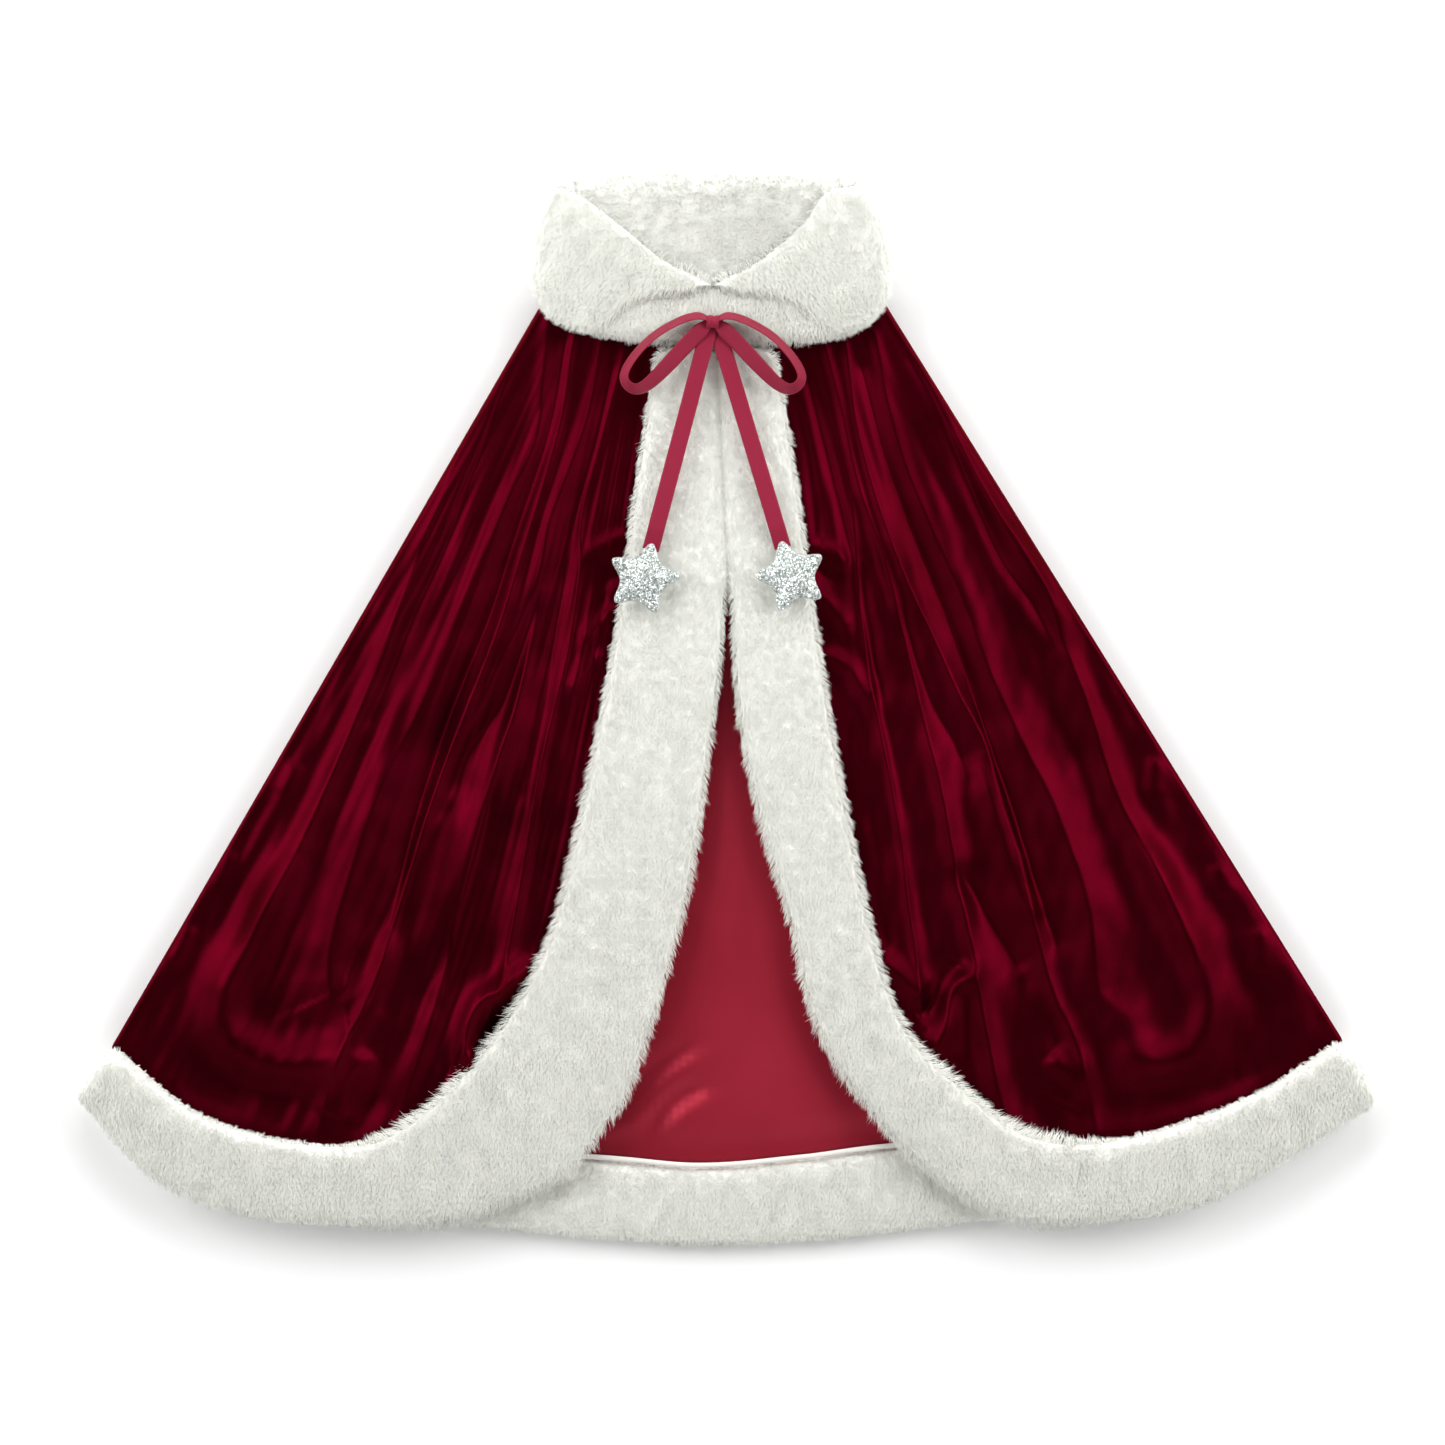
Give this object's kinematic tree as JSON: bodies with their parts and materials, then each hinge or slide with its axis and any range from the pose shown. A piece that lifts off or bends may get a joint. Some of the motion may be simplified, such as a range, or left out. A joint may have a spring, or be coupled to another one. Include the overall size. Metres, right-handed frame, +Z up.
{
  "type": "velvet dress-up cape",
  "caption": "Child's velvet dress-up cape with plush collar and edge trim, satin lining and a ribbon bow with padded stars, laid flat.",
  "frame": {"origin": "on the surface the cape lies on, under the middle of its outline", "axes": "+X towards the viewer's right-hand hem corner, +Y towards the collar, +Z up out of the fronts"},
  "size_m": [0.784, 0.6453, 0.0445],
  "materials": {
    "velvet": "crushed-light crimson velvet, low sheen at rest, bright along the folds",
    "lining": "satin-weave lining, soft gloss",
    "fur": "dense short plush, matte",
    "tape": "woven cotton tape, matte",
    "ribbon": "fine ribbed ribbon, satin",
    "glitter": "silver glitter cloth, sparkling",
    "star_back": "silver cloth, semi-matte",
    "star_rim": "silver cord, satin",
    "filling": "polyester filling, matte",
    "thread": "twisted thread, matte"
  },
  "bodies": {
    "cape": {"back_velvet": "velvet", "left_side_fold": "velvet", "right_side_fold": "velvet", "left_front_velvet": "velvet", "right_front_velvet": "velvet", "back_lining": "lining", "left_front_lining": "lining", "right_front_lining": "lining", "back_hem_fur": "fur", "left_front_fur": "fur", "right_front_fur": "fur", "left_hem_fur": "fur", "right_hem_fur": "fur", "collar_back_fall": "fur", "collar_back_stand": "fur", "collar_left_wrap": "fur", "collar_right_wrap": "fur", "collar_left_front": "fur", "collar_right_front": "fur", "collar_lip": "fur", "back_hem_tape": "tape", "neck_tape": "tape", "left_tie_root": "ribbon", "right_tie_root": "ribbon", "tie_knot": "ribbon"},
    "left_corner": {"left_corner_velvet": "velvet", "left_corner_lining": "lining", "left_corner_fur": "fur"},
    "right_corner": {"right_corner_velvet": "velvet", "right_corner_lining": "lining", "right_corner_fur": "fur"},
    "left_bow_loop": {"left_loop": "ribbon"},
    "right_bow_loop": {"right_loop": "ribbon"},
    "left_ribbon_tail": {"left_tail": "ribbon"},
    "right_ribbon_tail": {"right_tail": "ribbon"},
    "left_star": {"left_star_front": "glitter", "left_star_back": "star_back", "left_star_filling": "filling", "left_star_rim": "star_rim", "left_star_tack": "thread"},
    "right_star": {"right_star_front": "glitter", "right_star_back": "star_back", "right_star_filling": "filling", "right_star_rim": "star_rim", "right_star_tack": "thread"}
  },
  "joints": [
    {"name": "left_corner_fold", "type": "hinge", "parent": "cape", "child": "left_corner", "pos_m": [-0.01, -0.02, 0.0304], "axis": [-0.6944, -0.7196, 0], "range_deg": [0, 150]},
    {"name": "right_corner_fold", "type": "hinge", "parent": "cape", "child": "right_corner", "pos_m": [0.007, -0.02, 0.0304], "axis": [-0.7084, 0.7058, 0], "range_deg": [0, 150]},
    {"name": "left_loop_lift", "type": "hinge", "parent": "cape", "child": "left_bow_loop", "pos_m": [-0.0096, 0.236, 0.041], "axis": [-0.6, 0.8, 0], "range_deg": [0, 60]},
    {"name": "right_loop_lift", "type": "hinge", "parent": "cape", "child": "right_bow_loop", "pos_m": [-0.0096, 0.236, 0.041], "axis": [-0.6, -0.8, 0], "range_deg": [0, 60]},
    {"name": "left_tail_swing", "type": "hinge", "parent": "cape", "child": "left_ribbon_tail", "pos_m": [-0.0096, 0.236, 0.0368], "axis": [0, 0, -1], "range_deg": [-7, 40]},
    {"name": "right_tail_swing", "type": "hinge", "parent": "cape", "child": "right_ribbon_tail", "pos_m": [-0.0096, 0.236, 0.0359], "axis": [0, 0, 1], "range_deg": [-7, 40]},
    {"name": "left_star_flip", "type": "hinge", "parent": "left_ribbon_tail", "child": "left_star", "pos_m": [-0.04536, 0.10064, 0.0368], "axis": [-0.9668, 0.2554, 0], "range_deg": [0, 120]},
    {"name": "right_star_flip", "type": "hinge", "parent": "right_ribbon_tail", "child": "right_star", "pos_m": [0.03063, 0.1019, 0.0359], "axis": [-0.9578, -0.2874, 0], "range_deg": [0, 120]}
  ]
}
